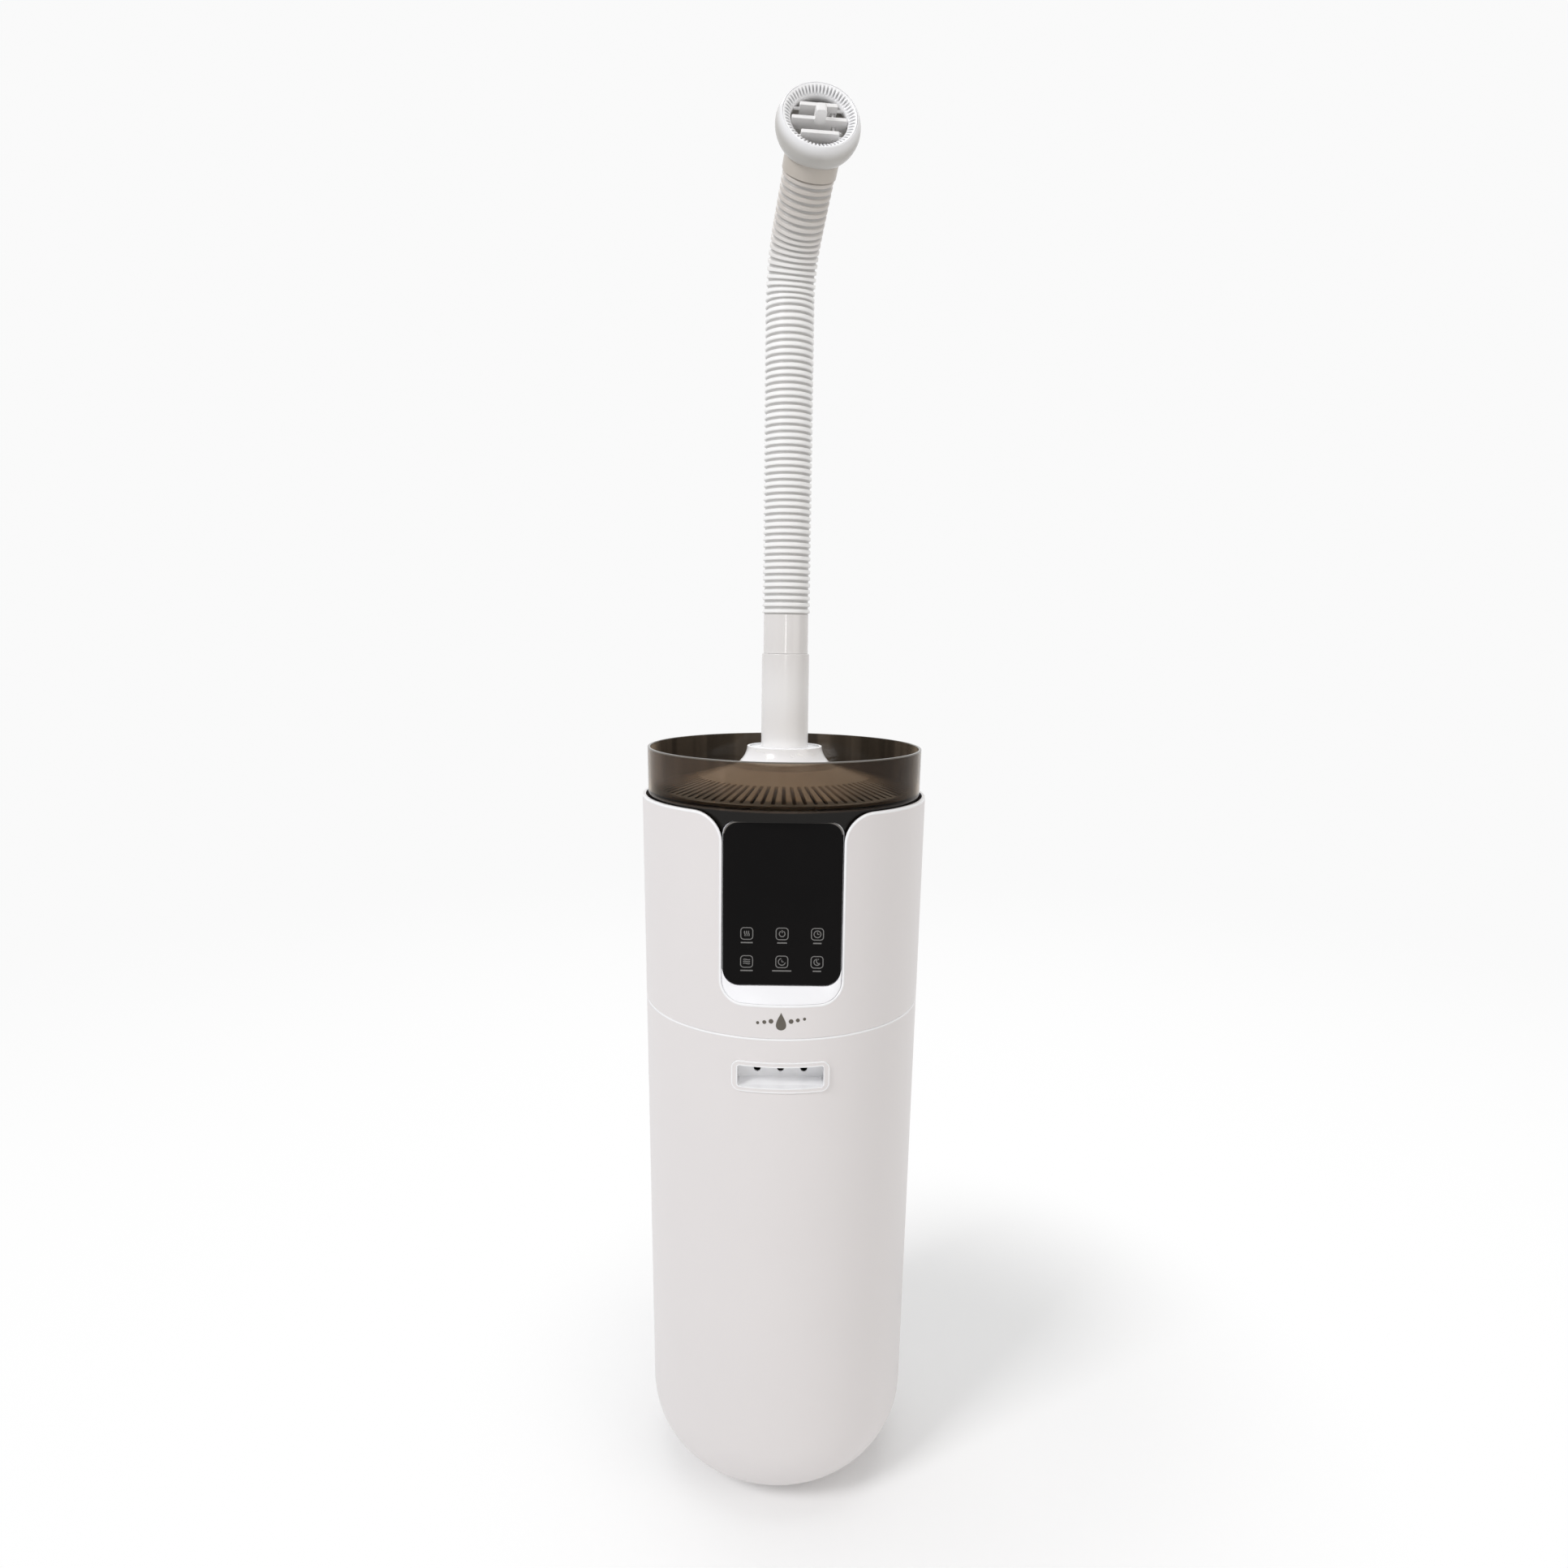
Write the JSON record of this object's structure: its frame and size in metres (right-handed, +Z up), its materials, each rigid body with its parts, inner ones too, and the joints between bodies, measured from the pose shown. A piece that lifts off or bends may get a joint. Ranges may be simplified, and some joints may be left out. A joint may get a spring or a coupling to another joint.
{
  "type": "cool mist humidifier",
  "caption": "Tall white floor-standing top-fill humidifier with a smoked pour-in rim, black touch display and a ribbed flexible mist hose ending in a ball outlet.",
  "frame": {"origin": "centre of the foot on the floor", "axes": "+Z up along the hose, -Y towards the front (display), +X to the viewer's right"},
  "size_m": [0.26, 0.2583, 1.2263],
  "materials": {
    "white_abs": "satin white ABS",
    "white_lip": "glossy white ABS",
    "smoked": "clear smoked brown plastic",
    "smoked_lid": "smoked plastic",
    "black_glass": "gloss black acrylic",
    "hose_white": "soft white polythene",
    "tube_white": "white plastic",
    "inner_grey": "grey inner plastic",
    "inner_white": "white inner plastic",
    "seal_rubber": "silicone rubber",
    "foot_rubber": "grey rubber",
    "board_green": "circuit board",
    "steel": "zinc-plated steel",
    "motor_metal": "motor can",
    "black_plastic": "black plastic",
    "pump_plastic": "dark pump plastic"
  },
  "bodies": {
    "lower_unit": {"lower_shell": "white_abs", "front_grip": "white_abs", "rear_grip": "white_abs", "foot_ring": "foot_rubber"},
    "upper_unit": {"upper_shell": "white_abs", "smoked_shell": "smoked", "display_frame": "white_abs", "display_glass": "black_glass", "display_board": "board_green", "display_cover": "inner_white", "display_screws": "steel", "unit_floor": "inner_white", "floor_screws": "steel", "dry_case": "inner_white", "case_screws": "steel", "power_board": "board_green", "fan_housing": "inner_grey", "fan_motor": "motor_metal", "intake_duct": "inner_white", "rear_panel": "white_abs", "power_inlet": "black_plastic", "mist_basin": "inner_white", "transducer_seal": "seal_rubber", "transducer": "steel", "air_duct": "inner_white", "overflow_pipe": "inner_white", "float_stem": "inner_white", "mist_hood": "inner_white", "pump_strainer": "pump_plastic", "pump_body": "pump_plastic", "pump_plate": "pump_plastic", "riser_pipe": "inner_white"},
    "fan": {"fan_rotor": "inner_grey"},
    "impeller": {"pump_impeller": "pump_plastic"},
    "float": {"level_float": "inner_white"},
    "lid": {"lid": "smoked_lid", "lid_collar": "tube_white"},
    "tube_seat": {"tube_seal": "seal_rubber"},
    "mist_tube": {"lower_tube": "tube_white"},
    "hose_base": {"hose_cuff": "tube_white", "hose_lower": "hose_white", "hose_lower_bend": "hose_white"},
    "hose_mid": {"hose_middle": "hose_white", "hose_upper_bend": "hose_white"},
    "hose_tip": {"hose_upper": "hose_white", "neck_sleeve": "tube_white"},
    "head": {"head_ball": "tube_white"},
    "mouth": {"mouth_ring": "tube_white"},
    "vane_middle": {"louver_middle": "tube_white"},
    "vane_top": {"louver_top": "tube_white"},
    "vane_bottom": {"louver_bottom": "tube_white"},
    "vane_link": {"link_bar": "tube_white"}
  },
  "joints": [
    {"name": "upper_unit_lift", "type": "slide", "parent": "lower_unit", "child": "upper_unit", "axis": [0, 0, 1], "range_m": [0, 0.47]},
    {"name": "fan_spin", "type": "hinge", "parent": "upper_unit", "child": "fan", "pos_m": [0, 0.034, 0.5], "axis": [0, 0, 1], "continuous": true},
    {"name": "impeller_spin", "type": "hinge", "parent": "upper_unit", "child": "impeller", "pos_m": [0.035, 0, 0.025], "axis": [0, 0, 1], "continuous": true},
    {"name": "float_rise", "type": "slide", "parent": "upper_unit", "child": "float", "axis": [0, 0, 1], "range_m": [0, 0.016]},
    {"name": "lid_lift", "type": "slide", "parent": "upper_unit", "child": "lid", "axis": [0, 0, 1], "range_m": [0, 0.08]},
    {"name": "tube_pull", "type": "slide", "parent": "upper_unit", "child": "tube_seat", "axis": [0, 0, 1], "range_m": [0, 0.06]},
    {"name": "tube_turn", "type": "hinge", "parent": "tube_seat", "child": "mist_tube", "pos_m": [0, 0, 0.7], "axis": [0, 0, 1], "continuous": true},
    {"name": "hose_pull", "type": "slide", "parent": "mist_tube", "child": "hose_base", "axis": [0, 0, 1], "range_m": [0, 0.04]},
    {"name": "hose_lower_flex", "type": "hinge", "parent": "hose_base", "child": "hose_mid", "pos_m": [0, 0, 0.9403], "axis": [0.9636, 0.2672, 0], "range_deg": [-20, 20], "deforming": ["hose_lower_bend"]},
    {"name": "hose_upper_flex", "type": "hinge", "parent": "hose_mid", "child": "hose_tip", "pos_m": [0, 0, 1.11178], "axis": [0.9636, 0.2672, 0], "range_deg": [-43, 32], "deforming": ["hose_upper_bend"]},
    {"name": "head_swivel", "type": "hinge", "parent": "hose_tip", "child": "head", "pos_m": [0.01419, -0.05118, 1.16874], "axis": [0.1823, -0.6572, 0.7314], "continuous": true},
    {"name": "mouth_turn", "type": "hinge", "parent": "head", "child": "mouth", "pos_m": [0.0203, -0.0732, 1.19324], "axis": [0.1308, -0.9305, 0.342], "continuous": true},
    {"name": "louver_tilt", "type": "hinge", "parent": "mouth", "child": "vane_middle", "pos_m": [0.02067, -0.07581, 1.1942], "axis": [0.9903, 0.1392, 0], "range_deg": [-25, 25]},
    {"name": "louver_top_tilt", "type": "hinge", "parent": "mouth", "child": "vane_top", "pos_m": [0.02007, -0.07157, 1.20596], "axis": [0.9903, 0.1392, 0], "range_deg": [-30, 30]},
    {"name": "louver_bottom_tilt", "type": "hinge", "parent": "mouth", "child": "vane_bottom", "pos_m": [0.02126, -0.08005, 1.18244], "axis": [0.9903, 0.1392, 0], "range_deg": [-30, 30]},
    {"name": "link_pivot", "type": "hinge", "parent": "vane_middle", "child": "vane_link", "pos_m": [0.02018, -0.07236, 1.19293], "axis": [0.9903, 0.1392, 0], "range_deg": [-30, 30]}
  ],
  "couplings": [
    {"joint": "louver_top_tilt", "follows": "louver_tilt", "ratio": 1},
    {"joint": "louver_bottom_tilt", "follows": "louver_tilt", "ratio": 1},
    {"joint": "link_pivot", "follows": "louver_tilt", "ratio": -1}
  ]
}
